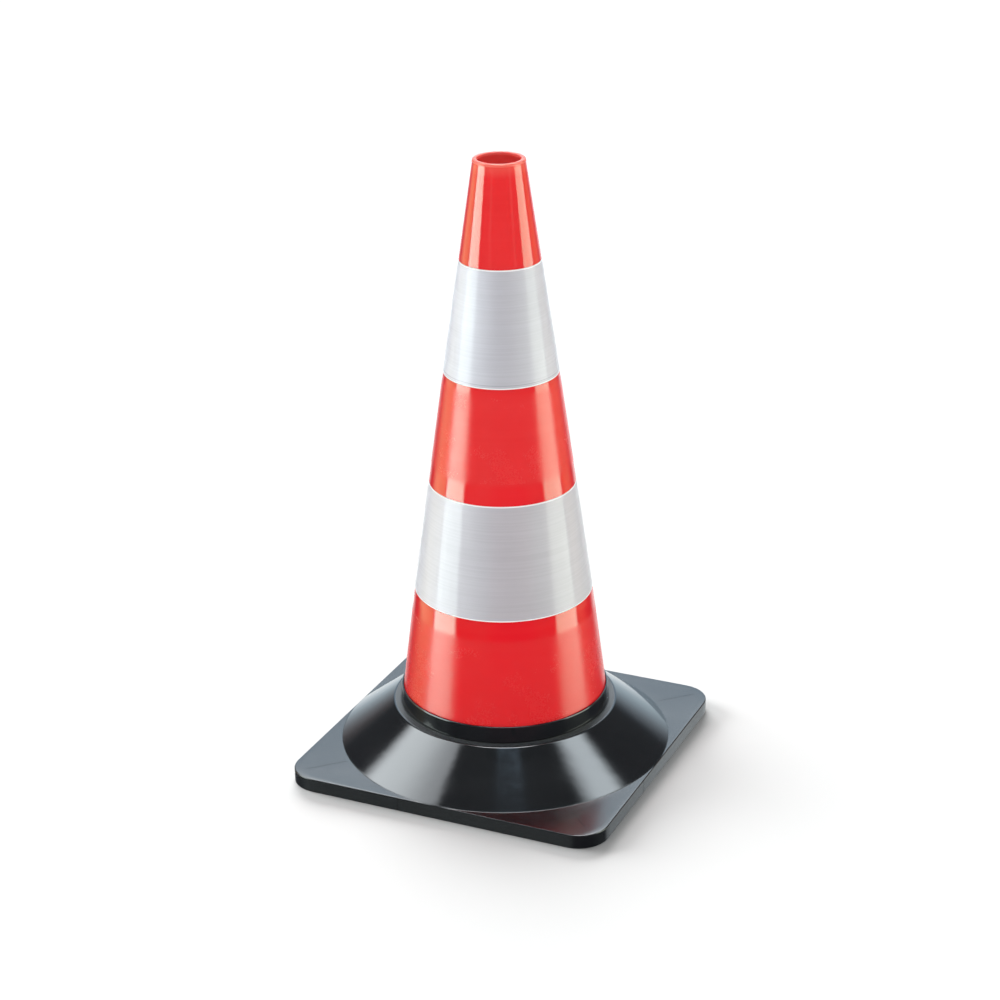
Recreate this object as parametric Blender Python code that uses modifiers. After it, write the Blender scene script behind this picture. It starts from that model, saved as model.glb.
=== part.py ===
"""Traffic cone: a hollow cone with two reflective sleeves, standing in a square weighted base.

Metres, +Z up. The origin is the centre of the footprint, on the ground.
The cone's foot flange lies under the base, so the base slides up over the tip to come off.
"""

import math

import bmesh
import bpy

# Whole object
HEIGHT = 0.500
SEGMENTS = 64
GAP = 0.0003

# Cone body: outer radius at each height where its taper changes, from the tip down
TAPER = (
    (HEIGHT, 0.0203),
    (0.325, 0.0464),
    (0.140, 0.0727),
    (0.060, 0.0829),
)
WALL = 0.0028
RIM_CHAMFER = 0.0006
FLANGE_RADIUS = 0.1010
FLANGE_THICKNESS = 0.0037

# Reflective sleeves: lower and upper edge of each, and the film's thickness
SLEEVES = {
    "upper_reflective_sleeve": (0.3304, 0.4209),
    "lower_reflective_sleeve": (0.1460, 0.2383),
}
FILM = 0.0005
RECESS = FILM + GAP

# Base plate
PLATE_HALF = 0.1358
PLATE_THICKNESS = 0.0115
PLATE_CORNER = 0.025
PLATE_CORNER_SEGMENTS = 6

# Base skirt, shelf and collar
FOOT_RADIUS = 0.1354
CREST_RADIUS = 0.0916
CREST_HEIGHT = 0.0456
CREST_CHAMFER = 0.0006
COLLAR_FOOT_RADIUS = 0.0860
COLLAR_RIM_RADIUS = 0.0846
COLLAR_HEIGHT = 0.0595
COLLAR_CHAMFER = 0.0004
BORE_CLEARANCE = 0.0004

# Hollow under the base
TUBE_WALL = 0.0035
TUBE_FOOT = FLANGE_THICKNESS + GAP
SKIRT_WALL = 0.0100
RIM_WALL = 0.0100
DECK_THICKNESS = 0.0050
POCKET_CORNER = 0.0175
RIB_WIDTH = 0.0050
RIB_FOOT = 0.0045
RIB_COUNT = 8

# Lengths by which cutters run past what they cut
OVERSHOOT = 0.010
SEAM_OVERLAP = 0.008


# ---------------------------------------------------------------- dimensions that follow

def line_at(x, start, end):
    """Value at x on the straight line through two (x, value) points."""
    share = (x - start[0]) / (end[0] - start[0])
    return start[1] + share * (end[1] - start[1])


def outer_radius(height):
    """Outer radius of the cone body; its lowest taper runs on down to the foot."""
    for upper, lower in zip(TAPER, TAPER[1:]):
        if height >= lower[0]:
            return line_at(height, upper, lower)
    return line_at(height, TAPER[-2], TAPER[-1])


def bore_radius(height):
    """Radius of the hole in the base, which the cone body stands in."""
    return outer_radius(height) + BORE_CLEARANCE


def skirt_slope():
    """How much the skirt's radius grows for each unit that it falls."""
    return (FOOT_RADIUS - CREST_RADIUS) / (CREST_HEIGHT - PLATE_THICKNESS)


def skirt_inner_radius(height):
    """Radius of the skirt's underside, SKIRT_WALL inside its sloping face."""
    shift = SKIRT_WALL * math.hypot(1.0, skirt_slope())
    return FOOT_RADIUS - (height - PLATE_THICKNESS) * skirt_slope() - shift


def tube_radius(height):
    """Outer radius of the tube that lines the hole under the base."""
    return bore_radius(height) + TUBE_WALL


def hollow_top():
    """Height where the tube's outer face meets the underside of the skirt."""
    low, high = PLATE_THICKNESS, CREST_HEIGHT
    low_gap = skirt_inner_radius(low) - tube_radius(low)
    high_gap = skirt_inner_radius(high) - tube_radius(high)
    return low + (high - low) * low_gap / (low_gap - high_gap)


# ---------------------------------------------------------------- scene and helpers

def clear_scene():
    for obj in list(bpy.data.objects):
        bpy.data.objects.remove(obj, do_unlink=True)


def new_collection(name):
    collection = bpy.data.collections.new(name)
    bpy.context.scene.collection.children.link(collection)
    return collection


def new_material(name, color, roughness, metallic=0.0):
    material = bpy.data.materials.new(name)
    material.use_nodes = True
    shader = material.node_tree.nodes["Principled BSDF"]
    shader.inputs["Base Color"].default_value = (*color, 1.0)
    shader.inputs["Roughness"].default_value = roughness
    shader.inputs["Metallic"].default_value = metallic
    return material


def new_object(name, mesh, collection):
    obj = bpy.data.objects.new(name, mesh)
    collection.objects.link(obj)
    return obj


def turned(name, profile, closed, collection):
    """Solid of revolution about Z from (radius, height) points that run down the outer side."""
    count = len(profile)
    edges = [(i, i + 1) for i in range(count - 1)]
    if closed:
        edges.append((count - 1, 0))
    mesh = bpy.data.meshes.new(name)
    mesh.from_pydata([(radius, 0.0, height) for radius, height in profile], edges, [])
    obj = new_object(name, mesh, collection)
    screw = obj.modifiers.new("Turn", "SCREW")
    screw.steps = SEGMENTS
    screw.render_steps = SEGMENTS
    screw.use_merge_vertices = True
    screw.merge_threshold = 0.00005
    return obj


def rounded_slab(name, half, corner, low, high, collection):
    """Square slab with rounded upright edges, from height low to height high."""
    work = bmesh.new()
    bmesh.ops.create_cube(work, size=1.0)
    bmesh.ops.scale(work, vec=(2 * half, 2 * half, high - low), verts=work.verts)
    bmesh.ops.translate(work, vec=(0.0, 0.0, (low + high) / 2), verts=work.verts)
    upright = [e for e in work.edges if abs(e.verts[0].co.z - e.verts[1].co.z) > (high - low) / 2]
    bmesh.ops.bevel(work, geom=upright, offset=corner, segments=PLATE_CORNER_SEGMENTS,
                    profile=0.5, affect="EDGES")
    mesh = bpy.data.meshes.new(name)
    work.to_mesh(mesh)
    work.free()
    return new_object(name, mesh, collection)


def frustum(name, low, high, radius_low, radius_high, collection):
    """Upright frustum between two heights."""
    work = bmesh.new()
    bmesh.ops.create_cone(work, cap_ends=True, segments=SEGMENTS, radius1=radius_low,
                          radius2=radius_high, depth=high - low)
    bmesh.ops.translate(work, vec=(0.0, 0.0, (low + high) / 2), verts=work.verts)
    mesh = bpy.data.meshes.new(name)
    work.to_mesh(mesh)
    work.free()
    return new_object(name, mesh, collection)


def boolean(target, tool, operation):
    modifier = target.modifiers.new(tool.name, "BOOLEAN")
    modifier.operation = operation
    modifier.solver = "EXACT"
    modifier.object = tool


def hide_cutters(collection):
    for obj in collection.objects:
        obj.hide_render = True
        obj.display_type = "WIRE"


def finish_piece(obj, material, parent):
    """Apply the modifiers, shade round faces smooth, and give the piece its material."""
    evaluated = obj.evaluated_get(bpy.context.evaluated_depsgraph_get())
    mesh = bpy.data.meshes.new_from_object(evaluated)
    obj.modifiers.clear()
    obj.data = mesh
    mesh.name = obj.name
    mesh.shade_smooth()
    mesh.set_sharp_from_angle(angle=math.radians(25))
    mesh.materials.clear()
    mesh.materials.append(material)
    obj.parent = parent


# ---------------------------------------------------------------- cone body

def recess_points(band):
    """Profile points of the shallow recess that a sleeve lies in, from the top down."""
    low, high = band[0] - GAP, band[1] + GAP
    return [
        (outer_radius(high), high),
        (outer_radius(high) - RECESS, high),
        (outer_radius(low) - RECESS, low),
        (outer_radius(low), low),
    ]


def body_outer_profile():
    """From the rim down the outside to the flange."""
    tip_radius = outer_radius(HEIGHT)
    points = [
        (tip_radius - RIM_CHAMFER, HEIGHT),
        (tip_radius, HEIGHT - RIM_CHAMFER),
    ]
    points += recess_points(SLEEVES["upper_reflective_sleeve"])
    points.append((TAPER[1][1], TAPER[1][0]))
    points += recess_points(SLEEVES["lower_reflective_sleeve"])
    points.append((TAPER[2][1], TAPER[2][0]))
    points.append((outer_radius(FLANGE_THICKNESS), FLANGE_THICKNESS))
    points.append((FLANGE_RADIUS, FLANGE_THICKNESS))
    points.append((FLANGE_RADIUS, 0.0))
    return points


def body_inner_profile():
    """From the ground up the inside to the rim."""
    heights = (0.0, TAPER[2][0], TAPER[1][0])
    points = [(outer_radius(height) - WALL, height) for height in heights]
    hole_radius = outer_radius(HEIGHT) - WALL
    points.append((hole_radius, HEIGHT - RIM_CHAMFER))
    points.append((hole_radius + RIM_CHAMFER, HEIGHT))
    return points


def build_body(collection):
    profile = body_outer_profile() + body_inner_profile()
    return turned("cone_body", profile, True, collection)


# ---------------------------------------------------------------- reflective sleeves

def build_sleeve(name, collection):
    low, high = SLEEVES[name]
    profile = [
        (outer_radius(high), high),
        (outer_radius(low), low),
        (outer_radius(low) - FILM, low),
        (outer_radius(high) - FILM, high),
    ]
    return turned(name, profile, True, collection)


# ---------------------------------------------------------------- base

def build_skirt(collection):
    """Sloping skirt, shelf and collar as one turned solid, which the plate is joined to."""
    profile = [
        (0.0, COLLAR_HEIGHT),
        (COLLAR_RIM_RADIUS - COLLAR_CHAMFER, COLLAR_HEIGHT),
        (COLLAR_RIM_RADIUS, COLLAR_HEIGHT - COLLAR_CHAMFER),
        (COLLAR_FOOT_RADIUS, CREST_HEIGHT),
        (CREST_RADIUS - CREST_CHAMFER, CREST_HEIGHT),
        (CREST_RADIUS + CREST_CHAMFER * skirt_slope(), CREST_HEIGHT - CREST_CHAMFER),
        (FOOT_RADIUS, PLATE_THICKNESS),
        (FOOT_RADIUS, PLATE_THICKNESS / 2),
        (0.0, PLATE_THICKNESS / 2),
    ]
    return turned("base", profile, False, collection)


def build_bore(cutters):
    low, high = -OVERSHOOT, COLLAR_HEIGHT + OVERSHOOT
    return frustum("bore_cutter", low, high, bore_radius(low), bore_radius(high), cutters)


def build_hollow(cutters):
    """Everything that is air under the base: a ring under the skirt and four corner pockets."""
    ring_radius = PLATE_HALF - RIM_WALL
    shoulder = line_at(ring_radius, (skirt_inner_radius(0.0), 0.0),
                       (skirt_inner_radius(CREST_HEIGHT), CREST_HEIGHT))
    top = hollow_top()
    throat_radius = bore_radius(TUBE_FOOT) - SEAM_OVERLAP
    profile = [
        (tube_radius(top), top),
        (ring_radius, shoulder),
        (ring_radius, -OVERSHOOT),
        (throat_radius, -OVERSHOOT),
        (throat_radius, TUBE_FOOT),
        (tube_radius(TUBE_FOOT), TUBE_FOOT),
    ]
    hollow = turned("hollow_cutter", profile, True, cutters)
    corners = rounded_slab("corner_cutter", ring_radius - GAP, POCKET_CORNER, -2 * OVERSHOOT,
                           PLATE_THICKNESS - DECK_THICKNESS, cutters)
    core_radius = ring_radius - SEAM_OVERLAP
    core = frustum("corner_core", -3 * OVERSHOOT, CREST_HEIGHT, core_radius, core_radius, cutters)
    boolean(corners, core, "DIFFERENCE")
    boolean(hollow, corners, "UNION")
    for rib in build_ribs(cutters):
        boolean(hollow, rib, "DIFFERENCE")
    return hollow


def build_ribs(cutters):
    """Bars through the axis, each of which leaves two ribs in the hollow."""
    bars = []
    for number in range(RIB_COUNT // 2):
        mesh = bpy.data.meshes.new("rib_bar")
        work = bmesh.new()
        bmesh.ops.create_cube(work, size=1.0)
        bmesh.ops.scale(work, vec=(4 * PLATE_HALF, RIB_WIDTH, CREST_HEIGHT), verts=work.verts)
        work.to_mesh(mesh)
        work.free()
        bar = new_object(f"rib_bar_{number + 1}", mesh, cutters)
        bar.location.z = RIB_FOOT + CREST_HEIGHT / 2
        bar.rotation_euler.z = number * 2 * math.pi / RIB_COUNT
        bars.append(bar)
    return bars


def build_base(collection, cutters):
    base = build_skirt(collection)
    plate = rounded_slab("plate_block", PLATE_HALF, PLATE_CORNER, 0.0, PLATE_THICKNESS, cutters)
    boolean(base, plate, "UNION")
    boolean(base, build_hollow(cutters), "DIFFERENCE")
    boolean(base, build_bore(cutters), "DIFFERENCE")
    return base


# ---------------------------------------------------------------- assembly

def main():
    clear_scene()
    parts = new_collection("traffic_cone")
    cutters = new_collection("cutters")
    orange = new_material("orange_pvc", (0.77, 0.035, 0.03), 0.28)
    black = new_material("black_moulded_rubber", (0.014, 0.016, 0.018), 0.22)
    film = new_material("white_reflective_film", (0.72, 0.74, 0.76), 0.30)
    assembly = new_object("traffic_cone", None, parts)
    body = build_body(parts)
    base = build_base(parts, cutters)
    sleeves = [build_sleeve(name, parts) for name in SLEEVES]
    hide_cutters(cutters)
    finish_piece(body, orange, assembly)
    finish_piece(base, black, assembly)
    for sleeve in sleeves:
        finish_piece(sleeve, film, body)


main()
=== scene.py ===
"""Traffic cone: the looks of the cone shell, its two reflective sleeves and its black base."""

import math

import bpy
import numpy as np
from mathutils import Matrix, Vector


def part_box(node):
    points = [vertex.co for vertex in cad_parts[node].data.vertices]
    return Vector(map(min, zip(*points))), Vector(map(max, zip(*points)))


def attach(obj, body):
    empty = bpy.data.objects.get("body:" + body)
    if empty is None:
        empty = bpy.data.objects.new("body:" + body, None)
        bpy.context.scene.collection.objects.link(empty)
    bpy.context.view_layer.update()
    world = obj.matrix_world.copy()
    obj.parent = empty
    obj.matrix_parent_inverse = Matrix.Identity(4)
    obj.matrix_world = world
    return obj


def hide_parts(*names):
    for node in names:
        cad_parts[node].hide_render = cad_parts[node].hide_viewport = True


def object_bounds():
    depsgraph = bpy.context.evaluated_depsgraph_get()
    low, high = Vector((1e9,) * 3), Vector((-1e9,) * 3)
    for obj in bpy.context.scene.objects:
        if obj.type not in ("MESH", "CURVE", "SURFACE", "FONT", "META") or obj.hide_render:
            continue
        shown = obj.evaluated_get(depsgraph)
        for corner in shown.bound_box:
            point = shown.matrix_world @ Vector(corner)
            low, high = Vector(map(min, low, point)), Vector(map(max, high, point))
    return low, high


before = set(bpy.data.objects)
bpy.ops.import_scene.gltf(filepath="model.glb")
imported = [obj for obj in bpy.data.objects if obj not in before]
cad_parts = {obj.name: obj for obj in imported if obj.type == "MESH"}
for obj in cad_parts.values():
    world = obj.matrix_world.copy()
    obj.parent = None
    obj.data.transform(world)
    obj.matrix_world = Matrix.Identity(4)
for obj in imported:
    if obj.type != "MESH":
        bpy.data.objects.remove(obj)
CAD_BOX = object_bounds()

MM = 0.001

# ---------------------------------------------------------------- dimensions, in metres
# The same shape as the CAD solids, with the fine fillets that they leave out.

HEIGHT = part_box("cone_body")[1].z
PLATE_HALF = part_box("base")[1].x
COLLAR_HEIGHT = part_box("base")[1].z
# Lower and upper edge of each sleeve
SLEEVES = {
    "upper_reflective_sleeve": (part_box("upper_reflective_sleeve")[0].z,
                                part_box("upper_reflective_sleeve")[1].z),
    "lower_reflective_sleeve": (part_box("lower_reflective_sleeve")[0].z,
                                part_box("lower_reflective_sleeve")[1].z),
}

# Outer radius of the cone at each height where its taper changes, from the tip down
TAPER = ((HEIGHT, 0.0203), (0.325, 0.0464), (0.140, 0.0727), (0.060, 0.0829))
WALL = 0.0028
KNEE_FILLET = 0.0040
# Lip of the top hole, where the wall is thicker
LIP_WALL = 0.0033
LIP_FILLET = 0.0016
LIP_INNER_FILLET = 0.0008
LIP_DEPTH = 0.0025
LIP_DEPTH_FILLET = 0.0010
LIP_TAPER_DEPTH = 0.0060
LIP_TAPER_FILLET = 0.0030
# Flange round the cone's foot
FLANGE_RADIUS = 0.1010
FLANGE_THICKNESS = 0.0037
FLANGE_ROOT_FILLET = 0.0008
FLANGE_EDGE_FILLET = 0.0006
FLANGE_FOOT_FILLET = 0.0004
# Recess for a sleeve, which runs a little past both of the film's edges
RECESS = 0.0008
RECESS_MARGIN = 0.0003
RECESS_EDGE_FILLET = 0.00015
RECESS_ROOT_FILLET = 0.0001
# Film of a sleeve: how far it runs past the CAD's edges and stands proud of the cone
FILM = 0.0006
FILM_MARGIN = 0.0002
FILM_LIFT = 0.00008
FILM_EDGE_FILLET = 0.00025
FILM_INNER_FILLET = 0.0001
FILM_SPACING = 0.006

PLATE_THICKNESS = 0.0115
PLATE_CORNER = 0.025
PLATE_FILLET = 0.0008
PLATE_FOOT_FILLET = 0.0005
# Skirt from its foot up to its crest, and the soft crease at the foot
FOOT_RADIUS = 0.1354
FOOT_BLEND = 0.0003
CREASE_HALF_WIDTH = 0.0008
CREST_RADIUS = 0.0916
CREST_HEIGHT = 0.0456
CREST_FILLET = 0.0025
# Collar, with the parting line of the mould down it
COLLAR_FOOT_RADIUS = 0.0860
COLLAR_FOOT_FILLET = 0.0002
COLLAR_RIM_RADIUS = 0.0846
COLLAR_RIM_FILLET = 0.0008
BORE_CLEARANCE = 0.0004
BORE_RIM_FILLET = 0.0004
PARTING_ANGLE = math.radians(-61.9)
PARTING_WIDTH = 0.0006
PARTING_DEPTH = 0.0002
# The skirt is turned down to this radius; further out its rings follow the plate's outline
TURNED_RADIUS = 0.128

# Hollow under the base
TUBE_WALL = 0.0035
TUBE_FOOT = 0.0040
HOLLOW_TOP_FILLET = 0.0010
SHOULDER_FILLET = 0.0012
SKIRT_WALL = 0.0100
RIM_WALL = 0.0100
DECK_THICKNESS = 0.0050
RIB_WIDTH = 0.0050
RIB_FOOT = 0.0045
RIB_COUNT = 8

# Sizes of the cutters for the grooves, and how far each lies from the middle of its side or plate
SIDE_GROOVE = (0.0007, 0.0010, 0.0400)
SIDE_GROOVE_OFFSET = -0.0335
FLAT_GROOVE = (0.0330, 0.0004, 0.0005)
FLAT_GROOVE_RADIUS = 0.1555

# Lengths by which a cutter runs past what it cuts, clears a face that it would lie on, and overlaps
# another cutter that it is joined to
OVERSHOOT = 0.010
CUTTER_GAP = 0.0003
CUTTER_OVERLAP = 0.008

SEGMENTS = 256
FILLET_STEPS = 6
# Extra rings at both ends of each straight stretch of a section, and along it
EDGE_MARGIN = 0.0004
RING_SPACING = 0.008


# ---------------------------------------------------------------- shape rules

def line_at(x, start, end):
    """Value at x on the straight line through two (x, value) points."""
    return start[1] + (x - start[0]) / (end[0] - start[0]) * (end[1] - start[1])


def outer_radius(height):
    """Outer radius of the cone shell; its lowest taper runs on down to the foot."""
    for upper, lower in zip(TAPER, TAPER[1:]):
        if height >= lower[0]:
            return line_at(height, upper, lower)
    return line_at(height, TAPER[-2], TAPER[-1])


def bore_radius(height):
    """Radius of the hole in the base, which the cone stands in."""
    return outer_radius(height) + BORE_CLEARANCE


# How much the skirt's radius grows for each unit that it falls
SKIRT_SLOPE = (FOOT_RADIUS - CREST_RADIUS) / (CREST_HEIGHT - PLATE_THICKNESS)


def skirt_inner_radius(height):
    """Radius of the skirt's underside, SKIRT_WALL inside its sloping face."""
    shift = SKIRT_WALL * math.hypot(1.0, SKIRT_SLOPE)
    return FOOT_RADIUS - (height - PLATE_THICKNESS) * SKIRT_SLOPE - shift


# ---------------------------------------------------------------- meshes

def filleted(corners):
    """Points of a closed path through (radius, height, fillet) corners."""
    path = []
    for number, (radius, height, fillet) in enumerate(corners):
        here = Vector((radius, height))
        back = (Vector(corners[number - 1][:2]) - here).normalized()
        on = (Vector(corners[(number + 1) % len(corners)][:2]) - here).normalized()
        if fillet == 0.0:
            path.append(here)
            continue
        reach = fillet / math.tan(back.angle(on) / 2)
        start, end = here + back * reach, here + on * reach
        for step in range(FILLET_STEPS + 1):
            t = step / FILLET_STEPS
            path.append(start * (1 - t) ** 2 + here * 2 * t * (1 - t) + end * t * t)
    return path


def supported(path, spacing=RING_SPACING):
    """The closed path with points added near both ends of each long straight, and along it."""
    points = []
    for here, ahead in zip(path, path[1:] + path[:1]):
        points.append(here)
        length = (ahead - here).length
        if length > 4 * EDGE_MARGIN:
            inner = length - 2 * EDGE_MARGIN
            pieces = max(1, math.ceil(inner / spacing))
            for step in range(pieces + 1):
                share = (EDGE_MARGIN + inner * step / pieces) / length
                points.append(here.lerp(ahead, share))
    return points


def angles(extra=()):
    """Angles round the axis: even steps, with further ones put in for a narrow feature."""
    even = np.linspace(0.0, 2 * math.pi, SEGMENTS, endpoint=False)
    return np.unique(np.concatenate([even, np.array(extra, float) % (2 * math.pi)]))


def angle_from(around, middle):
    """Unsigned angle between each of the angles around and the middle one."""
    return np.abs((around - middle + math.pi) % (2 * math.pi) - math.pi)


def turned_rings(path, around):
    """Rings of points, one for each (radius, height) of the path."""
    rings = np.zeros((len(path), len(around), 3))
    for number, point in enumerate(path):
        rings[number, :, 0] = point[0] * np.cos(around)
        rings[number, :, 1] = point[0] * np.sin(around)
        rings[number, :, 2] = point[1]
    return rings


def lofted(name, rings):
    """Closed surface through closed rings of points, the last ring joined back to the first.
    The rings run down the outer side, inwards under it and up the inner side."""
    count, around = rings.shape[:2]
    a = np.arange(count * around).reshape(count, around)
    b = np.roll(a, -1, axis=1)
    c = np.roll(b, -1, axis=0)
    d = np.roll(a, -1, axis=0)
    faces = np.stack([a, d, c, b], axis=-1).reshape(-1, 4)
    mesh = bpy.data.meshes.new(name)
    mesh.from_pydata(rings.reshape(-1, 3).tolist(), [], faces.tolist())
    mesh.shade_smooth()
    return new_object(name, mesh)


def new_object(name, mesh):
    obj = bpy.data.objects.new(name, mesh)
    bpy.context.scene.collection.objects.link(obj)
    return obj


def block(name, size, place, turn=0.0):
    """Cutter box of the given size, centred on place in the frame turned about Z."""
    x, y, z = (length / 2 for length in size)
    corners = [(i * x + place[0], j * y + place[1], k * z + place[2])
               for k in (-1, 1) for i, j in ((-1, -1), (1, -1), (1, 1), (-1, 1))]
    faces = [(3, 2, 1, 0), (4, 5, 6, 7)]
    faces += [(i, (i + 1) % 4, (i + 1) % 4 + 4, i + 4) for i in range(4)]
    mesh = bpy.data.meshes.new(name)
    mesh.from_pydata(corners, [], faces)
    mesh.transform(Matrix.Rotation(turn, 4, "Z"))
    return new_object(name, mesh)


def cut(target, tool, operation="DIFFERENCE"):
    """Boolean with a tool that is used up by it."""
    modifier = target.modifiers.new(tool.name, "BOOLEAN")
    modifier.operation = operation
    modifier.solver = "EXACT"
    modifier.object = tool
    bpy.context.view_layer.update()
    evaluated = target.evaluated_get(bpy.context.evaluated_depsgraph_get())
    mesh = bpy.data.meshes.new_from_object(evaluated)
    target.modifiers.clear()
    target.data = mesh
    bpy.data.objects.remove(tool, do_unlink=True)


# ---------------------------------------------------------------- cone shell

def shell_corners():
    """Corners of the shell's section, from the rim down the outside and up the inside."""
    tip = outer_radius(HEIGHT)
    corners = [(tip, HEIGHT, LIP_FILLET)]
    for number, name in enumerate(SLEEVES):
        low, high = SLEEVES[name]
        low -= RECESS_MARGIN
        high += RECESS_MARGIN
        corners += [
            (outer_radius(high), high, RECESS_EDGE_FILLET),
            (outer_radius(high) - RECESS, high, RECESS_ROOT_FILLET),
            (outer_radius(low) - RECESS, low, RECESS_ROOT_FILLET),
            (outer_radius(low), low, RECESS_EDGE_FILLET),
        ]
        knee_height, knee_radius = TAPER[number + 1]
        corners.append((knee_radius, knee_height, KNEE_FILLET))
    corners += [
        (outer_radius(FLANGE_THICKNESS), FLANGE_THICKNESS, FLANGE_ROOT_FILLET),
        (FLANGE_RADIUS, FLANGE_THICKNESS, FLANGE_EDGE_FILLET),
        (FLANGE_RADIUS, 0.0, FLANGE_FOOT_FILLET),
        (outer_radius(0.0) - WALL, 0.0, FLANGE_EDGE_FILLET),
    ]
    corners += [(radius - WALL, height, KNEE_FILLET) for height, radius in reversed(TAPER[1:3])]
    taper_height = HEIGHT - LIP_TAPER_DEPTH
    corners += [
        (outer_radius(taper_height) - WALL, taper_height, LIP_TAPER_FILLET),
        (tip - LIP_WALL, HEIGHT - LIP_DEPTH, LIP_DEPTH_FILLET),
        (tip - LIP_WALL, HEIGHT, LIP_INNER_FILLET),
    ]
    return corners


def build_shell():
    path = supported(filleted(shell_corners()))
    return lofted("cone_shell", turned_rings(path, angles()))


# ---------------------------------------------------------------- reflective sleeves

# Overlap of the film's two ends, at the back: its place round the axis, its width, how much it
# stands up and how wide each of its edges is
SEAM_ANGLE = math.radians(88.0)
SEAM_WIDTH = 0.012
SEAM_STEP = 0.00022
SEAM_EDGE = 0.0003


def build_sleeve(name, cad_node):
    """A film wrapped round the cone in its recess, its two ends overlapping at the back."""
    low, high = SLEEVES[cad_node]
    low -= FILM_MARGIN
    high += FILM_MARGIN
    corners = [
        (outer_radius(high) + FILM_LIFT, high, FILM_EDGE_FILLET),
        (outer_radius(low) + FILM_LIFT, low, FILM_EDGE_FILLET),
        (outer_radius(low) - FILM, low, FILM_INNER_FILLET),
        (outer_radius(high) - FILM, high, FILM_INNER_FILLET),
    ]
    middle_radius = outer_radius((low + high) / 2)
    half = SEAM_WIDTH / 2 / middle_radius
    edge = SEAM_EDGE / middle_radius
    marks = [SEAM_ANGLE + side * (half + shift) for side in (-1, 1) for shift in (-edge, 0.0, edge)]
    around = angles(marks)
    rings = turned_rings(supported(filleted(corners), spacing=FILM_SPACING), around)
    raised = SEAM_STEP * np.clip((half + edge - angle_from(around, SEAM_ANGLE)) / edge, 0.0, 1.0)
    radius = np.hypot(rings[:, :, 0], rings[:, :, 1])
    middle = np.array([outer_radius(z) - FILM / 2 for z in rings[:, 0, 2]])[:, None]
    grown = 1 + np.where(radius > middle, raised[None, :] / radius, 0.0)
    rings[:, :, 0] *= grown
    rings[:, :, 1] *= grown
    return lofted(name, rings)


# ---------------------------------------------------------------- base

def outline_radius(around, inset):
    """Distance from the axis to the plate's rounded outline, moved inwards by inset."""
    half = PLATE_HALF - inset
    corner = PLATE_CORNER - inset
    turn = np.abs((around + math.pi / 4) % (math.pi / 2) - math.pi / 4)
    straight = half / np.cos(turn)
    centre = PLATE_HALF - PLATE_CORNER
    along = centre * (np.cos(turn) + np.sin(turn))
    across = centre * (np.cos(turn) - np.sin(turn))
    arc = along + np.sqrt(np.maximum(corner ** 2 - across ** 2, 0.0))
    return np.where(half * np.tan(turn) > centre, arc, straight)


def skirt_height(radius):
    """Top of the skirt and of the flat round it, with a soft crease between them."""
    rise = (FOOT_RADIUS - radius) / SKIRT_SLOPE
    blend = np.clip(0.5 + 0.5 * rise / FOOT_BLEND, 0.0, 1.0)
    return PLATE_THICKNESS + rise * blend + FOOT_BLEND * blend * (1 - blend) / 2


def outline_ring(around, radius, height):
    """Ring of points at a radius and a height that may both change round the axis."""
    ring = np.zeros((len(around), 3))
    ring[:, 0] = radius * np.cos(around)
    ring[:, 1] = radius * np.sin(around)
    ring[:, 2] = height
    return ring


def base_top_path():
    """Turned part of the base's section: up the bore, over the collar and shelf, down the skirt."""
    end = Vector((TURNED_RADIUS, float(skirt_height(np.array(TURNED_RADIUS)))))
    corners = [
        (bore_radius(COLLAR_HEIGHT), COLLAR_HEIGHT, BORE_RIM_FILLET),
        (COLLAR_RIM_RADIUS, COLLAR_HEIGHT, COLLAR_RIM_FILLET),
        (COLLAR_FOOT_RADIUS, CREST_HEIGHT, COLLAR_FOOT_FILLET),
        (CREST_RADIUS, CREST_HEIGHT, CREST_FILLET),
        (end.x, end.y, 0.0),
        (end.x, -2 * OVERSHOOT, 0.0),
        (bore_radius(0.0), 0.0, 0.0),
    ]
    path = supported(filleted(corners))
    return path[:path.index(end)]


def plate_rings(around):
    """Rings from the turned part of the skirt out over the plate, down its side and in under it."""
    rings = []
    rounding = outline_radius(around, PLATE_FILLET)
    crease_end = np.minimum(FOOT_RADIUS + CREASE_HALF_WIDTH, rounding - 0.1 * MM)
    crease_start = crease_end - 2 * CREASE_HALF_WIDTH
    stretches = (
        (TURNED_RADIUS, crease_start, np.linspace(0.0, 1.0, 3, endpoint=False)),
        (crease_start, crease_end, np.linspace(0.0, 1.0, 13)),
        (crease_end, rounding, np.linspace(0.0, 1.0, 8)[1:]),
    )
    for start, end, shares in stretches:
        for share in shares:
            radius = start + (end - start) * share
            rings.append(outline_ring(around, radius, skirt_height(radius)))
    for angle in np.linspace(0.0, math.pi / 2, 8)[1:]:
        radius = outline_radius(around, PLATE_FILLET * (1 - math.sin(angle)))
        height = skirt_height(radius) - PLATE_FILLET * (1 - math.cos(angle))
        rings.append(outline_ring(around, radius, height))
    side = outline_radius(around, 0.0)
    side_top = PLATE_THICKNESS - PLATE_FILLET - 0.3 * MM
    side_foot = PLATE_FOOT_FILLET + 0.3 * MM
    for height in np.linspace(side_top, side_foot, 4):
        rings.append(outline_ring(around, side, height))
    for angle in np.linspace(0.0, math.pi / 2, 5):
        radius = outline_radius(around, PLATE_FOOT_FILLET * (1 - math.cos(angle)))
        rings.append(outline_ring(around, radius, PLATE_FOOT_FILLET * (1 - math.sin(angle))))
    rings.append(outline_ring(around, outline_radius(around, PLATE_FOOT_FILLET + MM), 0.0))
    return rings


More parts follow.
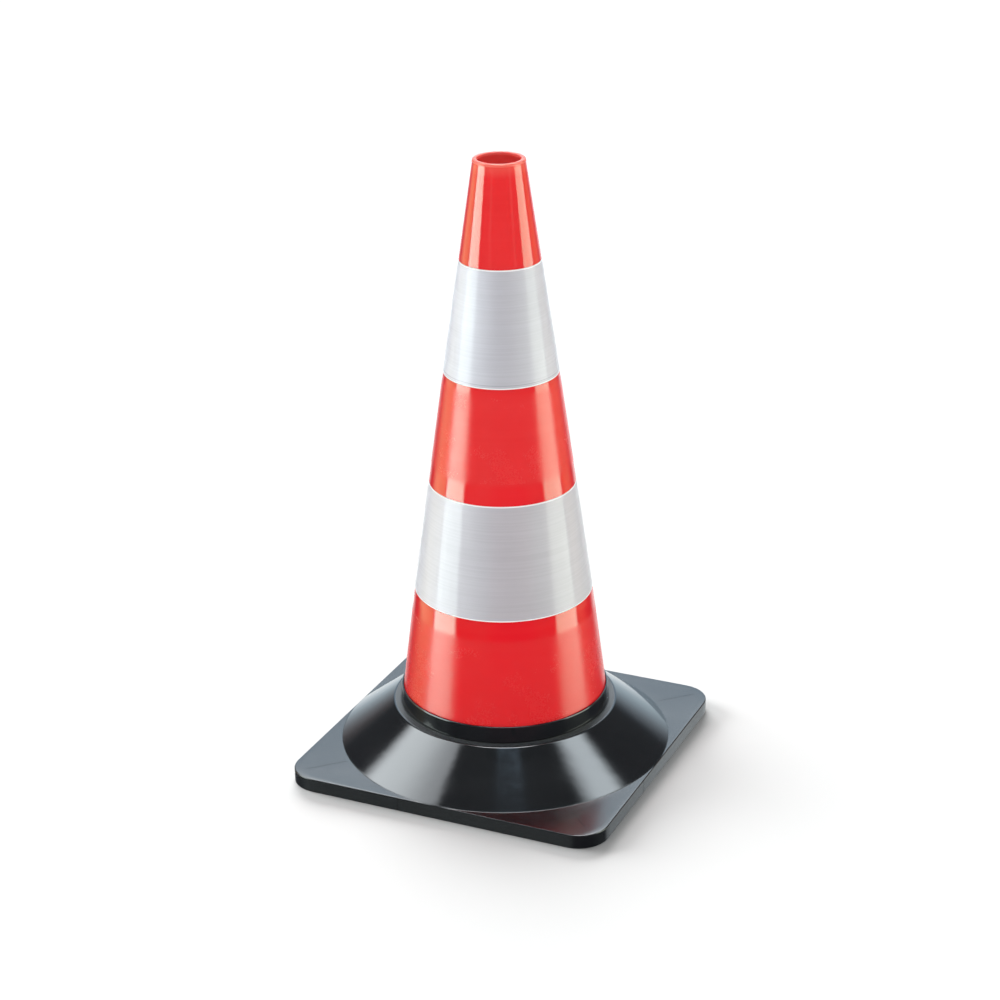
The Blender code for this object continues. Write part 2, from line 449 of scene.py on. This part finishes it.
def base_rings(around):
    """All rings of the base's outside, from the collar's rim round to the bore."""
    rings = list(turned_rings(base_top_path(), around))
    on_line = angle_from(around, PARTING_ANGLE) < PARTING_WIDTH / 4 / COLLAR_RIM_RADIUS
    for ring in rings:
        if CREST_HEIGHT + MM < ring[0, 2] < COLLAR_HEIGHT - MM:
            ring[on_line, :2] *= 1 - PARTING_DEPTH / COLLAR_RIM_RADIUS
    rings += plate_rings(around)
    for height in np.linspace(0.0, COLLAR_HEIGHT - MM, 8):
        rings.append(outline_ring(around, bore_radius(height), height))
    return np.array(rings)


def build_hollow():
    """Everything that is air under the base: a ring under the skirt and four corner pockets."""
    ring = PLATE_HALF - RIM_WALL
    low, high = PLATE_THICKNESS, CREST_HEIGHT
    low_gap = skirt_inner_radius(low) - bore_radius(low) - TUBE_WALL
    high_gap = skirt_inner_radius(high) - bore_radius(high) - TUBE_WALL
    top = low + (high - low) * low_gap / (low_gap - high_gap)
    shoulder = line_at(ring, (skirt_inner_radius(0.0), 0.0), (skirt_inner_radius(high), high))
    throat = bore_radius(TUBE_FOOT) - CUTTER_OVERLAP
    corners = [
        (bore_radius(top) + TUBE_WALL, top, HOLLOW_TOP_FILLET),
        (ring, shoulder, SHOULDER_FILLET),
        (ring, -OVERSHOOT, 0.0),
        (throat, -OVERSHOOT, 0.0),
        (throat, TUBE_FOOT, 0.0),
        (bore_radius(TUBE_FOOT) + TUBE_WALL, TUBE_FOOT, 0.0),
    ]
    around = angles()[::2]
    hollow = lofted("hollow", turned_rings(filleted(corners), around))
    deck = PLATE_THICKNESS - DECK_THICKNESS
    outside = outline_radius(around, RIM_WALL + CUTTER_GAP)
    inside = ring - CUTTER_OVERLAP
    slab_corners = ((outside, deck), (outside, -OVERSHOOT), (inside, -OVERSHOOT), (inside, deck))
    slab = np.array([outline_ring(around, radius, height) for radius, height in slab_corners])
    cut(hollow, lofted("corner_slab", slab), "UNION")
    for number in range(RIB_COUNT // 2):
        bar = block("rib_bar", (4 * PLATE_HALF, RIB_WIDTH, CREST_HEIGHT),
                    (0.0, 0.0, RIB_FOOT + CREST_HEIGHT / 2), number * 2 * math.pi / RIB_COUNT)
        cut(hollow, bar)
    return hollow


def build_witness_lines(base):
    """Fine grooves: one across each side wall and one along each corner flat."""
    for quarter in range(4):
        turn = quarter * math.pi / 2
        side_place = (SIDE_GROOVE_OFFSET, -PLATE_HALF, 0.0)
        flat_place = (FLAT_GROOVE_RADIUS, 0.0, PLATE_THICKNESS)
        cut(base, block("side_groove", SIDE_GROOVE, side_place, turn))
        cut(base, block("flat_groove", FLAT_GROOVE, flat_place, turn + math.pi / 4))


def build_base():
    marks = [PARTING_ANGLE + side * PARTING_WIDTH / 2 / COLLAR_RIM_RADIUS for side in (-1, 0, 1)]
    base = lofted("base_moulding", base_rings(angles(marks)))
    cut(base, build_hollow())
    build_witness_lines(base)
    base.data.shade_smooth()
    base.data.set_sharp_from_angle(angle=math.radians(30))
    return base


# ---------------------------------------------------------------- shader helpers

class Graph:
    """Short ways to add nodes to one node tree."""

    def __init__(self, tree):
        self.tree = tree
        tree.nodes.clear()

    def node(self, kind, inputs=(), **settings):
        made = self.tree.nodes.new(kind)
        for key, value in settings.items():
            setattr(made, key, value)
        for key, value in dict(inputs).items():
            self.feed(made.inputs[key], value)
        return made

    def feed(self, socket, value):
        if isinstance(value, bpy.types.NodeSocket):
            self.tree.links.new(value, socket)
        else:
            socket.default_value = value

    def math(self, operation, first, second=0.0, third=0.0, clamp=False):
        made = self.node("ShaderNodeMath", {0: first, 1: second, 2: third},
                         operation=operation, use_clamp=clamp)
        return made.outputs[0]

    def ramp(self, value, low, high, start=0.0, end=1.0):
        """Goes smoothly from start to end as value goes from low to high."""
        made = self.node("ShaderNodeMapRange", {"Value": value, "From Min": low, "From Max": high,
                                                "To Min": start, "To Max": end},
                         interpolation_type="SMOOTHSTEP")
        return made.outputs["Result"]

    def band(self, value, middle, half, soft):
        """One within half of middle and zero outside, with edges soft wide."""
        away = self.math("ABSOLUTE", self.math("SUBTRACT", value, middle))
        return self.ramp(away, half + soft / 2, half - soft / 2)

    def colours(self, value, stops):
        """Colour ramp through (position, colour) stops."""
        made = self.node("ShaderNodeValToRGB", {"Fac": value})
        elements = made.color_ramp.elements
        while len(elements) < len(stops):
            elements.new(0.5)
        for element, (position, colour) in zip(elements, stops):
            element.position = position
            element.color = (*colour, 1.0)
        return made.outputs["Color"]

    def dot(self, vector, axis):
        made = self.node("ShaderNodeVectorMath", {0: vector, 1: axis}, operation="DOT_PRODUCT")
        return made.outputs["Value"]

    def stretched(self, vector, scale):
        made = self.node("ShaderNodeVectorMath", {0: vector, 1: scale}, operation="MULTIPLY")
        return made.outputs["Vector"]

    def place_and_height(self):
        """A point's place in the shared frame, and its height in it."""
        place = self.node("ShaderNodeTexCoord").outputs["Object"]
        return place, self.node("ShaderNodeSeparateXYZ", {0: place}).outputs[2]

    def noise(self, vector, scale, detail=2.0, roughness=0.5, distortion=0.0):
        made = self.node("ShaderNodeTexNoise", {"Vector": vector, "Scale": scale, "Detail": detail,
                                                "Roughness": roughness, "Distortion": distortion})
        return made.outputs["Fac"]

    def mix(self, share, first, second, kind="MIX"):
        made = self.node("ShaderNodeMix", data_type="RGBA", blend_type=kind)
        self.feed(made.inputs[0], share)
        self.feed(made.inputs[6], first)
        self.feed(made.inputs[7], second)
        return made.outputs[2]

    def bump(self, height, distance, strength=1.0, normal=None):
        made = self.node("ShaderNodeBump", {"Height": height, "Distance": distance,
                                            "Strength": strength})
        if normal is not None:
            self.feed(made.inputs["Normal"], normal)
        return made.outputs["Normal"]


def new_material(name):
    material = bpy.data.materials.new(name)
    material.use_nodes = True
    return material, Graph(material.node_tree)


def grey(value):
    return (value, value, value, 1.0)


def finish_material(graph, inputs):
    shader = graph.node("ShaderNodeBsdfPrincipled", inputs)
    graph.node("ShaderNodeOutputMaterial", {"Surface": shader.outputs[0]})


# ---------------------------------------------------------------- materials

# Heights between which the shell is satin and not glossy
SATIN_ZONES = ((0.2545, 0.3250), (0.0560, 0.1300))
SATIN_EDGE = 0.004
GLOSS_ROUGH = 0.08
SATIN_ROUGH_GAIN = 0.17
# Heights below which the shell's red is deepest and above which it is plain: painted shade, darkening
# the red towards the black base
LOW_SHADE_HEIGHTS = (0.110, 0.150)
# Depths below the rim where the lip's painted light, a paler coral that stands for light caught by the
# rim, and its roughness begin and are full
LIP_LIGHT_FADE = (0.012, 0.001)
LIP_LIGHT_EDGE = (0.0030, 0.0014)
LIP_WEAR = (0.0030, 0.0012)
# Reds of the shell: its own reds and level rings, then painted shade near the base and painted light
# inside and on the lip; and the tints of its gloss and its sheen
RED_DARK = (0.865, 0.0095, 0.0150, 1.0)
RED_LIGHT = (0.895, 0.0120, 0.0180, 1.0)
RED_RINGS = (0.910, 0.020, 0.024, 1.0)
# Painted shade: deeper red low on the cone, beside the black base
RED_SHADED_LOW = (0.920, 0.003, 0.011, 1.0)
# Painted light: a lighter red for the inward faces, brightening the inside of the cone
RED_INSIDE_PAINTED_LIGHT = (1.000, 0.120, 0.110, 1.0)
# Painted light: paler coral for the lip and the wall just below it
RED_LIP_PAINTED_LIGHT = (0.930, 0.145, 0.105, 1.0)
RED_GLOSS = (0.52, 1.0, 0.86, 1.0)
RED_SHEEN = (1.0, 0.42, 0.25, 1.0)


def orange_pvc():
    """Coral red PVC, glossy at the tip and beside the sleeves and satin between."""
    material, graph = new_material("orange_pvc")
    place, height = graph.place_and_height()
    broad = graph.noise(place, 28.0, 3.0)
    fine = graph.noise(place, 900.0, 3.0, 0.6)
    rings = graph.noise(graph.stretched(place, (6.0, 6.0, 260.0)), 1.0, 3.0)

    satin = 0.0
    for low, high in SATIN_ZONES:
        zone = graph.band(height, (low + high) / 2, (high - low) / 2, SATIN_EDGE)
        satin = graph.math("ADD", satin, zone)
    rough = graph.math("MULTIPLY_ADD", satin, SATIN_ROUGH_GAIN, GLOSS_ROUGH)
    rough = graph.math("ADD", rough, graph.ramp(broad, 0.3, 0.7, -0.02, 0.03))
    rough = graph.math("ADD", rough, graph.ramp(fine, 0.3, 0.7, -0.01, 0.01))
    wear = graph.ramp(height, *(HEIGHT - depth for depth in LIP_WEAR), 0.0, 0.40)
    rough = graph.math("ADD", rough, wear)

    tint = graph.mix(graph.ramp(broad, 0.35, 0.65), RED_DARK, RED_LIGHT)
    tint = graph.mix(graph.ramp(rings, 0.40, 0.70, 0.0, 0.25), tint, RED_RINGS)
    # Painted shade: the red deepens towards the black base
    shade_full_height, shade_free_height = LOW_SHADE_HEIGHTS
    tint = graph.mix(graph.ramp(height, shade_free_height, shade_full_height, 0.0, 0.7), tint, RED_SHADED_LOW)
    # Painted light: faces turned towards the axis get a lighter red, brightening the inside of the
    # cone
    normal = graph.node("ShaderNodeNewGeometry").outputs["True Normal"]
    outward = graph.node("ShaderNodeVectorMath", {0: graph.stretched(place, (1.0, 1.0, 0.0))},
                         operation="NORMALIZE")
    facing = graph.dot(normal, outward.outputs["Vector"])
    inside = graph.ramp(facing, -0.2, -0.8)
    tint = graph.mix(inside, tint, RED_INSIDE_PAINTED_LIGHT)
    # Painted light: the lip and the wall just below it turn a paler coral, as if catching light;
    # inward faces are mostly spared
    lip_light_below = graph.ramp(height, *(HEIGHT - depth for depth in LIP_LIGHT_FADE), 0.0, 0.45)
    lip_light = graph.math("MAXIMUM", lip_light_below, graph.ramp(height, *(HEIGHT - depth for depth in LIP_LIGHT_EDGE)))
    lip_light = graph.math("MULTIPLY", lip_light, graph.math("MULTIPLY_ADD", inside, -0.9, 1.0))
    tint = graph.mix(lip_light, tint, RED_LIP_PAINTED_LIGHT)

    relief = graph.bump(fine, 0.00002, 0.5)
    relief = graph.bump(rings, 0.00003, 0.4, relief)
    relief = graph.bump(broad, 0.0006, 0.30, relief)
    finish_material(graph, {
        "Base Color": tint, "Roughness": rough, "Normal": relief,
        "IOR": 1.56, "Specular Tint": RED_GLOSS,
        "Subsurface Weight": 0.45, "Subsurface Scale": 0.006, "Subsurface Radius": (1.0, 0.15, 0.10),
        "Sheen Weight": 0.04, "Sheen Roughness": 0.4, "Sheen Tint": RED_SHEEN,
    })
    return material


# How metallic and rough the film is, the weight of its clear face, and the tint of each sleeve
FILM_METAL = 0.50
FILM_ROUGH = 0.76
FILM_COAT = 0.38
FILM_UPPER = (0.612, 0.605, 0.650, 1.0)
FILM_LOWER = (0.590, 0.573, 0.606, 1.0)
# Heights between which the tint goes from the lower sleeve's to the upper one's
FILM_CHANGE = (0.230, 0.250)
# Painted highlight: a white line along each edge of a film, where the edge catches light
EDGE_HIGHLIGHT_WHITE = (0.930, 0.930, 0.930, 1.0)
EDGE_HIGHLIGHT_HALF_WIDTH = 0.0008
EDGE_HIGHLIGHT_SOFTNESS = 0.0004
# Dark grey line drawn across the upper film, a little above its lower edge
DARK_LINE_GREY = (0.150, 0.150, 0.160, 1.0)
DARK_LINE_OFFSET = 0.0026
DARK_LINE_HALF_WIDTH = 0.0002
DARK_LINE_STRENGTH = 0.45


def reflective_film():
    """White retroreflective film: a soft metallic sheen under a clear face, with fine level lines."""
    material, graph = new_material("reflective_film")
    place, height = graph.place_and_height()
    lines = graph.noise(graph.stretched(place, (9.0, 9.0, 800.0)), 1.0, 4.0, 0.65)
    beads = graph.noise(place, 2600.0, 2.0)
    broad = graph.noise(place, 22.0, 2.0)

    lower, upper = FILM_CHANGE
    tint = graph.mix(graph.ramp(height, upper, lower), FILM_UPPER, FILM_LOWER)
    tint = graph.mix(1.0, tint, graph.ramp(lines, 0.34, 0.66, 0.93, 1.01), "MULTIPLY")
    tint = graph.mix(1.0, tint, graph.ramp(broad, 0.3, 0.7, 1.0, 0.98), "MULTIPLY")
    # Painted highlight: white lines along both edges of each film, not metallic there
    edge_highlights = 0.0
    for edges in SLEEVES.values():
        for edge in edges:
            edge_highlight = graph.band(height, edge, EDGE_HIGHLIGHT_HALF_WIDTH, EDGE_HIGHLIGHT_SOFTNESS)
            edge_highlights = graph.math("ADD", edge_highlights, edge_highlight)
    # Dark grey line across the upper film, above its lower edge
    dark_line_height = SLEEVES["upper_reflective_sleeve"][0] + DARK_LINE_OFFSET
    dark_line = graph.band(height, dark_line_height, DARK_LINE_HALF_WIDTH, DARK_LINE_HALF_WIDTH)
    tint = graph.mix(graph.math("MULTIPLY", dark_line, DARK_LINE_STRENGTH), tint, DARK_LINE_GREY)
    tint = graph.mix(edge_highlights, tint, EDGE_HIGHLIGHT_WHITE)

    metal = graph.math("MULTIPLY_ADD", edge_highlights, -FILM_METAL, FILM_METAL, clamp=True)
    rough = graph.math("ADD", graph.ramp(lines, 0.3, 0.7, FILM_ROUGH - 0.03, FILM_ROUGH + 0.03),
                       graph.ramp(broad, 0.3, 0.7, -0.02, 0.02))
    relief = graph.bump(beads, 0.00002, 0.5)
    relief = graph.bump(lines, 0.00004, 0.6, relief)
    finish_material(graph, {
        "Base Color": tint, "Roughness": rough, "Metallic": metal, "IOR": 1.5, "Normal": relief,
        "Coat Weight": FILM_COAT, "Coat Roughness": 0.07, "Coat IOR": 1.5,
    })
    return material


RUBBER_DARK = (0.0060, 0.0070, 0.0080, 1.0)
RUBBER_LIGHT = (0.0110, 0.0120, 0.0130, 1.0)
RUBBER_ROUGH = 0.065
PLATE_ROUGH_GAIN = 0.14
SHELF_ROUGH_GAIN = 0.50
# Heights above the plate's face where its dull finish is full and has ended
PLATE_FINISH = (0.0002, 0.0010)
# The dull shelf: its half height, and distances inside the crest where it is full and has ended
SHELF_HALF_HEIGHT = 0.0006
SHELF_SOFTNESS = 0.0004
SHELF_FINISH = (0.0014, 0.0008)


def black_rubber():
    """Black rubber: the turned faces glossy and slightly wavy, the plate and the shelf duller."""
    material, graph = new_material("black_rubber")
    place, height = graph.place_and_height()
    waves = graph.noise(place, 45.0, 2.0)
    grain = graph.noise(place, 1500.0, 3.0, 0.6)
    scuffs = graph.noise(place, 9.0, 5.0, 0.62, 0.6)

    full, ended = PLATE_FINISH
    plate = graph.ramp(height, PLATE_THICKNESS + ended, PLATE_THICKNESS + full)
    level = graph.stretched(place, (1.0, 1.0, 0.0))
    radius = graph.node("ShaderNodeVectorMath", {0: level}, operation="LENGTH").outputs["Value"]
    full, ended = SHELF_FINISH
    shelf = graph.math("MULTIPLY", graph.band(height, CREST_HEIGHT, SHELF_HALF_HEIGHT, SHELF_SOFTNESS),
                       graph.ramp(radius, CREST_RADIUS - ended, CREST_RADIUS - full))
    rough = graph.math("MULTIPLY_ADD", plate, PLATE_ROUGH_GAIN, RUBBER_ROUGH)
    rough = graph.math("MULTIPLY_ADD", shelf, SHELF_ROUGH_GAIN, rough)
    rough = graph.math("ADD", rough, graph.ramp(scuffs, 0.3, 0.75, 0.0, 0.05))
    rough = graph.math("ADD", rough, graph.ramp(grain, 0.3, 0.7, -0.01, 0.015))

    tint = graph.mix(graph.ramp(scuffs, 0.35, 0.75), RUBBER_DARK, RUBBER_LIGHT)
    relief = graph.bump(grain, 0.00002, 0.3)
    relief = graph.bump(waves, 0.0004, 0.2, relief)
    finish_material(graph, {"Base Color": tint, "Roughness": rough, "IOR": 1.5, "Normal": relief})
    return material


FLOOR_DARK = (0.360, 0.364, 0.364, 1.0)
FLOOR_LIGHT = (0.362, 0.366, 0.366, 1.0)


def floor_white():
    material, graph = new_material("floor_white")
    place = graph.node("ShaderNodeTexCoord").outputs["Object"]
    soft = graph.noise(place, 3.0, 2.0)
    tint = graph.mix(graph.ramp(soft, 0.3, 0.7), FLOOR_DARK, FLOOR_LIGHT)
    shader = graph.node("ShaderNodeBsdfDiffuse", {"Color": tint})
    graph.node("ShaderNodeOutputMaterial", {"Surface": shader.outputs[0]})
    return material


# ---------------------------------------------------------------- studio

# Level directions of the studio: towards the camera, and to its right
TOWARD = (0.4089, -0.9126, 0.0)
RIGHTWARD = (0.9126, 0.4089, 0.0)

# Soft boxes seen in the gloss. In azimuth from TOWARD (+ to the right) and in elevation, each
# rises between its first two angles in degrees and falls between its last two. Then come its
# lean, the degrees of elevation that it sinks for each degree of azimuth, and its radiance.
SOFT_BOXES = (
    ((-98.5, -93.5, -65.0, -60.0), (-12.0, -10.8, 28.0, 32.0), 0.075, (8.4, 9.6, 9.2)),
    ((-124.0, -115.0, -79.0, -74.5), (20.0, 30.0, 63.0, 70.0), 0.0, (5.3, 5.6, 5.9)),
    ((-124.0, -115.0, -107.0, -80.0), (20.0, 30.0, 62.0, 70.0), 0.0, (9.9, 10.6, 11.0)),
    ((64.5, 69.5, 99.5, 104.5), (-12.0, -10.8, 44.0, 50.0), 0.075, (5.6, 6.1, 5.2)),
    ((77.0, 93.0, 101.0, 109.0), (38.0, 44.0, 62.0, 70.0), 0.0, (8.8, 9.8, 10.4)),
    ((-142.0, -118.0, -100.0, -97.0), (-20.8, -18.4, -6.0, -1.0), 0.0, (2.2, 1.9, 1.1)),
    ((103.0, 108.0, 116.0, 142.0), (-20.0, -15.0, -6.0, -1.0), 0.0, (1.3, 0.8, 0.5)),
    ((112.0, 118.0, 146.0, 152.0), (-34.5, -27.0, -26.0, -24.0), 0.0, (1.15, 1.25, 1.3)),
    ((-82.0, -76.0, -26.0, -20.0), (-44.0, -38.0, -29.0, -25.5), 0.0, (0.5, 0.55, 0.55)),
    ((-35.0, -31.0, -29.0, -25.0), (-4.0, 0.0, 8.0, 14.0), 0.0, (1.2, 0.9, 0.9)),
    ((38.0, 41.0, 45.0, 48.0), (-4.0, 0.0, 8.0, 14.0), 0.0, (1.2, 0.9, 0.9)),
    ((-26.0, -10.0, 30.0, 48.0), (-16.0, -14.5, -8.0, -4.0), 0.0, (0.95, 0.12, 0.22)),
)
# Panels overhead. Each is bounded in the same way by how far a ray of length 1 runs along
# RIGHTWARD and along TOWARD, and then comes its radiance.
OVERHEAD = (
    ((-0.100, -0.045, 0.100, 0.150), (-0.40, -0.35, 0.230, 0.245), (2.6, 3.6, 4.6)),
    ((-0.240, -0.170, 0.170, 0.240), (-0.85, -0.70, 0.060, 0.130), (14.0, 14.5, 15.0)),
)

# Radiance of the room at each elevation in degrees, in front and behind
FRONT_ROOM = (
    (-90.0, (0.05, 0.05, 0.06)),
    (-19.0, (0.06, 0.07, 0.09)),
    (-10.0, (0.32, 0.28, 0.32)),
    (-2.0, (0.55, 0.50, 0.52)),
    (5.0, (0.50, 0.46, 0.48)),
    (14.0, (0.14, 0.15, 0.17)),
    (90.0, (0.19, 0.21, 0.23)),
)
BACK_ROOM = (
    (-90.0, (0.60, 0.60, 0.55)),
    (-22.0, (1.05, 1.10, 1.10)),
    (-14.0, (1.18, 1.30, 1.38)),
    (-5.0, (1.05, 1.28, 1.42)),
    (20.0, (1.15, 1.50, 1.80)),
    (27.5, (1.10, 1.46, 1.86)),
    (31.0, (1.90, 2.30, 2.60)),
    (36.0, (1.80, 2.20, 2.50)),
    (46.0, (0.40, 0.50, 0.60)),
    (90.0, (0.19, 0.21, 0.23)),
)
# Turn of the middle of the back room, and the angles from straight ahead between which the front
# room gives way to it
ROOM_TURN = 4.0
BACK_STARTS = (142.0, 162.0)
# Radiance that reaches matt surfaces, and that of the backdrop that the camera sees
AMBIENT = 0.92
BACKDROP = 1.0
# Lights that only the floor takes and only the base blocks, which give the soft shadow: each one's
# strength, the angle it spans, and where it comes from as (to the right, towards the camera, up)
SHADOW_LIGHTS = (
    (12.6, 42.0, (-0.100, -0.945, 0.309)),
    (10.2, 42.0, (-0.879, -0.410, 0.242)),
)


def within(graph, value, limits):
    """One between the middle two limits, falling to zero at the outer two."""
    out_low, in_low, in_high, out_high = limits
    rise = graph.ramp(value, out_low, in_low)
    return graph.math("MULTIPLY", rise, graph.ramp(value, out_high, in_high))


def room_radiance(graph, elevation, stops):
    """Colour ramp of a room's radiance over elevation, from straight down to straight up."""
    share = graph.math("MULTIPLY_ADD", elevation, 1 / 180.0, 0.5)
    return graph.colours(share, [(degrees / 180.0 + 0.5, colour) for degrees, colour in stops])


def build_world():
    """Studio as a world: gloss sees the room and its lights, the rest sees an even white."""
    world = bpy.data.worlds.new("studio")
    bpy.context.scene.world = world
    world.use_nodes = True
    world.cycles.sampling_method = "NONE"
    graph = Graph(world.node_tree)
    ray = graph.node("ShaderNodeTexCoord").outputs["Generated"]
    to_degrees = 180.0 / math.pi
    rightward, toward = graph.dot(ray, RIGHTWARD), graph.dot(ray, TOWARD)
    azimuth = graph.math("MULTIPLY", graph.math("ARCTAN2", rightward, toward), to_degrees)
    rise = graph.node("ShaderNodeSeparateXYZ", {0: ray}).outputs[2]
    elevation = graph.math("MULTIPLY", graph.math("ARCSINE", rise), to_degrees)

    behind = graph.math("ABSOLUTE", graph.math("ADD", azimuth, ROOM_TURN))
    room = graph.mix(graph.ramp(behind, *BACK_STARTS), room_radiance(graph, elevation, FRONT_ROOM),
                     room_radiance(graph, elevation, BACK_ROOM))
    turned = graph.math("ABSOLUTE", azimuth)
    for across, along, lean, radiance in SOFT_BOXES:
        raised = graph.math("MULTIPLY_ADD", turned, lean, elevation)
        lit = graph.math("MULTIPLY", within(graph, azimuth, across), within(graph, raised, along))
        room = graph.mix(lit, room, (*radiance, 1.0))
    for across, along, radiance in OVERHEAD:
        lit = graph.math("MULTIPLY", within(graph, rightward, across), within(graph, toward, along))
        lit = graph.math("MULTIPLY", lit, graph.ramp(rise, 0.0, 0.5))
        room = graph.mix(lit, room, (*radiance, 1.0))

    path = graph.node("ShaderNodeLightPath")
    seen = graph.mix(path.outputs["Is Glossy Ray"], grey(AMBIENT), room)
    seen = graph.mix(path.outputs["Is Camera Ray"], seen, grey(BACKDROP))
    background = graph.node("ShaderNodeBackground", {"Color": seen, "Strength": 1.0})
    graph.node("ShaderNodeOutputWorld", {"Surface": background.outputs[0]})


def build_shadow_lights(floor, base):
    """Wide lights that give the base its soft shadow on the floor and light nothing else."""
    takers = bpy.data.collections.new("lit_by_shadow_lights")
    takers.objects.link(floor)
    blockers = bpy.data.collections.new("blocks_shadow_lights")
    blockers.objects.link(base)
    for strength, span, (to_right, to_camera, up) in SHADOW_LIGHTS:
        data = bpy.data.lights.new("shadow_light", "SUN")
        data.energy = strength
        data.angle = math.radians(span)
        light = bpy.data.objects.new("shadow_light", data)
        bpy.context.scene.collection.objects.link(light)
        direction = Vector(RIGHTWARD) * to_right + Vector(TOWARD) * to_camera + Vector((0, 0, up))
        light.rotation_mode = "QUATERNION"
        light.rotation_quaternion = direction.to_track_quat("Z", "Y")
        light.visible_glossy = False
        light.light_linking.receiver_collection = takers
        light.light_linking.blocker_collection = blockers


FLOOR_HALF = 20.0
FLOOR_GAP = 0.0002


def build_floor():
    corners = [(x * FLOOR_HALF, y * FLOOR_HALF, 0.0) for x, y in ((-1, -1), (1, -1), (1, 1), (-1, 1))]
    mesh = bpy.data.meshes.new("studio_floor")
    mesh.from_pydata(corners, [], [(0, 1, 2, 3)])
    floor = new_object("studio_floor", mesh)
    floor.data.materials.append(floor_white())
    floor.location.z = CAD_BOX[0].z - FLOOR_GAP
    floor.visible_glossy = False
    return floor


# ---------------------------------------------------------------- camera

# Where the photo was taken from, solved from the plate's corners and the cone's edges in it. Lens
# and sensor are in millimetres; the heading is counted from +X, the tilt and roll from level.
CAMERA_PLACE = (0.73208, -1.63404, 0.97561)
CAMERA_LENS = 87.55
CAMERA_SENSOR = 36.0
CAMERA_REACH = 100.0
CAMERA_HEADING = math.radians(114.2045)
CAMERA_TILT = math.radians(-22.887)
CAMERA_ROLL = math.radians(-0.6747)


def build_camera():
    data = bpy.data.cameras.new("camera")
    data.lens = CAMERA_LENS
    data.sensor_width = CAMERA_SENSOR
    data.clip_end = CAMERA_REACH
    camera = bpy.data.objects.new("camera", data)
    bpy.context.scene.collection.objects.link(camera)
    ahead = Vector((math.cos(CAMERA_TILT) * math.cos(CAMERA_HEADING),
                    math.cos(CAMERA_TILT) * math.sin(CAMERA_HEADING), math.sin(CAMERA_TILT)))
    right = ahead.cross(Vector((0, 0, 1))).normalized()
    up = right.cross(ahead)
    across = math.cos(CAMERA_ROLL) * right + math.sin(CAMERA_ROLL) * up
    upright = -math.sin(CAMERA_ROLL) * right + math.cos(CAMERA_ROLL) * up
    turn = Matrix((across, upright, -ahead)).transposed()
    camera.matrix_world = Matrix.Translation(CAMERA_PLACE) @ turn.to_4x4()
    bpy.context.scene.camera = camera


# ---------------------------------------------------------------- assembly

def place(piece, body, cad_node, slot, material):
    """Give a piece its material and say which body and CAD node it belongs to. The slot is not used.
    """
    piece.data.materials.clear()
    piece.data.materials.append(material)
    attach(piece, body)
    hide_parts(cad_node)


def main():
    settings = bpy.context.scene.view_settings
    settings.view_transform = "Standard"
    settings.look = "None"
    film = reflective_film()
    place(build_shell(), "cone", "cone_body", "orange_pvc", orange_pvc())
    place(build_sleeve("upper_film", "upper_reflective_sleeve"), "cone", "upper_reflective_sleeve",
          "reflective_film", film)
    place(build_sleeve("lower_film", "lower_reflective_sleeve"), "cone", "lower_reflective_sleeve",
          "reflective_film", film)
    base = build_base()
    place(base, "base", "base", "black_rubber", black_rubber())
    build_world()
    build_shadow_lights(build_floor(), base)
    build_camera()


main()
